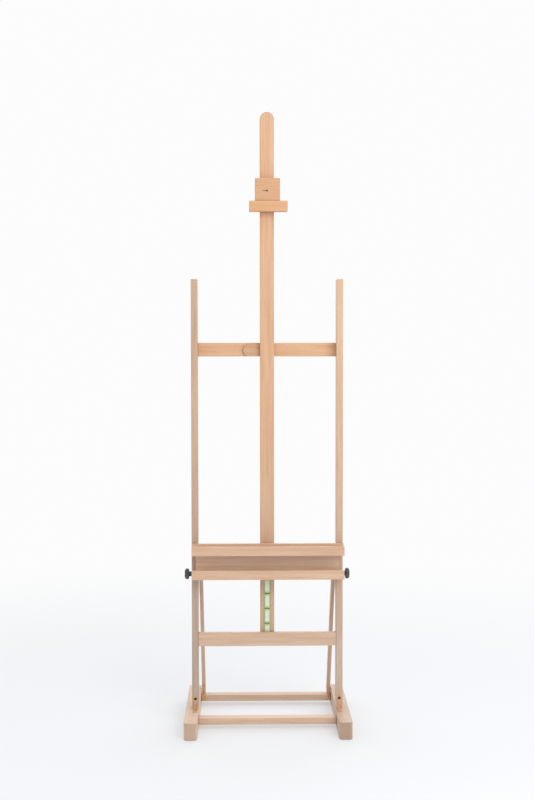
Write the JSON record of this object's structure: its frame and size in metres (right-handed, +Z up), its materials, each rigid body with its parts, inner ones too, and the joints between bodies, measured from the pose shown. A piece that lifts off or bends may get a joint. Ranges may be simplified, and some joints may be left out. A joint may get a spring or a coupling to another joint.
{
  "type": "wooden artist easel",
  "caption": "Standing H-frame studio easel in beech with sliding mast, toothed rack, canvas tray with brush shelf, top canvas clamp and a tilting frame held by rear struts.",
  "frame": {"origin": "on the floor under the middle of the two feet", "axes": "+X to the right of a painter facing the easel, +Y to the back, +Z up along the mast"},
  "size_m": [0.63, 0.5, 2.3369],
  "materials": {
    "beech": "oiled, satin",
    "rack_zinc": "yellow-green passivated zinc",
    "zinc_steel": "bright zinc",
    "hinge_bronze": "bronzed, worn",
    "dark_screw": "blackened",
    "brass_insert": "plain",
    "knob_plastic": "fine moulded grain"
  },
  "bodies": {
    "base": {"foot_left": "beech", "foot_right": "beech", "crossbar_front": "beech", "crossbar_rear": "beech", "crossbar_bolts": "zinc_steel", "foot_hinge_leaves": "hinge_bronze", "foot_hinge_pins": "hinge_bronze", "base_hinge_screws": "hinge_bronze", "crossbar_hinge_leaves": "hinge_bronze", "crossbar_hinge_pins": "hinge_bronze"},
    "frame": {"upright_left": "beech", "upright_right": "beech", "upper_rail": "beech", "lower_rail": "beech", "lower_rail_dowels": "beech", "frame_screws": "zinc_steel", "frame_hinge_leaves": "hinge_bronze", "frame_hinge_screws": "dark_screw", "mast_bolt": "zinc_steel", "mast_bolt_washer": "zinc_steel", "mast_bolt_nut": "zinc_steel", "mast_keeper": "beech", "pawl_pin": "zinc_steel"},
    "strut_left": {"strut_left": "beech", "strut_hinge_leaf_left": "hinge_bronze", "strut_hinge_screws_left": "hinge_bronze", "tilt_bolt_left": "zinc_steel", "tilt_washer_left": "zinc_steel"},
    "strut_right": {"strut_right": "beech", "strut_hinge_leaf_right": "hinge_bronze", "strut_hinge_screws_right": "hinge_bronze", "tilt_bolt_right": "zinc_steel", "tilt_washer_right": "zinc_steel"},
    "knob_left": {"side_knob_left": "knob_plastic"},
    "knob_right": {"side_knob_right": "knob_plastic"},
    "mast": {"mast": "beech", "rack": "rack_zinc", "rack_screws": "rack_zinc", "tray_spacer": "beech", "tray_back_board": "beech", "canvas_fence": "beech", "canvas_floor": "beech", "canvas_front_lip": "beech", "shelf_floor": "beech", "shelf_front_lip": "beech", "tray_pins": "zinc_steel", "tray_screws": "zinc_steel"},
    "lever": {"mast_lever": "beech", "lever_insert": "brass_insert"},
    "pawl": {"pawl": "zinc_steel"},
    "clamp": {"clamp_block": "beech", "clamp_cheek_left": "beech", "clamp_cheek_right": "beech", "clamp_back_plate": "beech", "clamp_bar": "beech", "clamp_screws": "zinc_steel", "clamp_face_screw": "dark_screw", "clamp_insert": "brass_insert"},
    "clamp_knob": {"clamp_knob": "knob_plastic", "clamp_stud": "zinc_steel"}
  },
  "joints": [
    {"name": "frame_tilt", "type": "hinge", "parent": "base", "child": "frame", "pos_m": [0, -0.0882, 0.0682], "axis": [1, 0, 0], "range_deg": [-10, 2]},
    {"name": "strut_left_fold", "type": "hinge", "parent": "base", "child": "strut_left", "pos_m": [-0.253, 0.192, 0.045], "axis": [1, 0, 0], "range_deg": [-9.9, 2]},
    {"name": "strut_right_fold", "type": "hinge", "parent": "base", "child": "strut_right", "pos_m": [0.253, 0.192, 0.045], "axis": [1, 0, 0], "range_deg": [-9.9, 2]},
    {"name": "side_knob_left_turn", "type": "hinge", "parent": "strut_left", "child": "knob_left", "pos_m": [-0.3, -0.062, 0.585], "axis": [1, 0, 0], "continuous": true},
    {"name": "side_knob_right_turn", "type": "hinge", "parent": "strut_right", "child": "knob_right", "pos_m": [0.3, -0.062, 0.585], "axis": [1, 0, 0], "continuous": true},
    {"name": "mast_slide", "type": "slide", "parent": "frame", "child": "mast", "axis": [0, 0, 1], "range_m": [-0.1728, 0]},
    {"name": "mast_lever_turn", "type": "hinge", "parent": "frame", "child": "lever", "pos_m": [0, -0.04, 1.44], "axis": [0, 1, 0], "range_deg": [-80, 0]},
    {"name": "pawl_swing", "type": "hinge", "parent": "frame", "child": "pawl", "pos_m": [0, -0.0755, 0.3195], "axis": [-1, 0, 0], "range_deg": [0, 22]},
    {"name": "clamp_slide", "type": "slide", "parent": "mast", "child": "clamp", "axis": [0, 0, 1], "range_m": [-0.31, 0.22]},
    {"name": "clamp_knob_turn", "type": "hinge", "parent": "clamp", "child": "clamp_knob", "pos_m": [0, -0.012, 2.045], "axis": [0, 1, 0], "continuous": true}
  ],
  "couplings": [
    {"joint": "strut_left_fold", "follows": "frame_tilt", "ratio": 0.985},
    {"joint": "strut_right_fold", "follows": "frame_tilt", "ratio": 0.985}
  ]
}
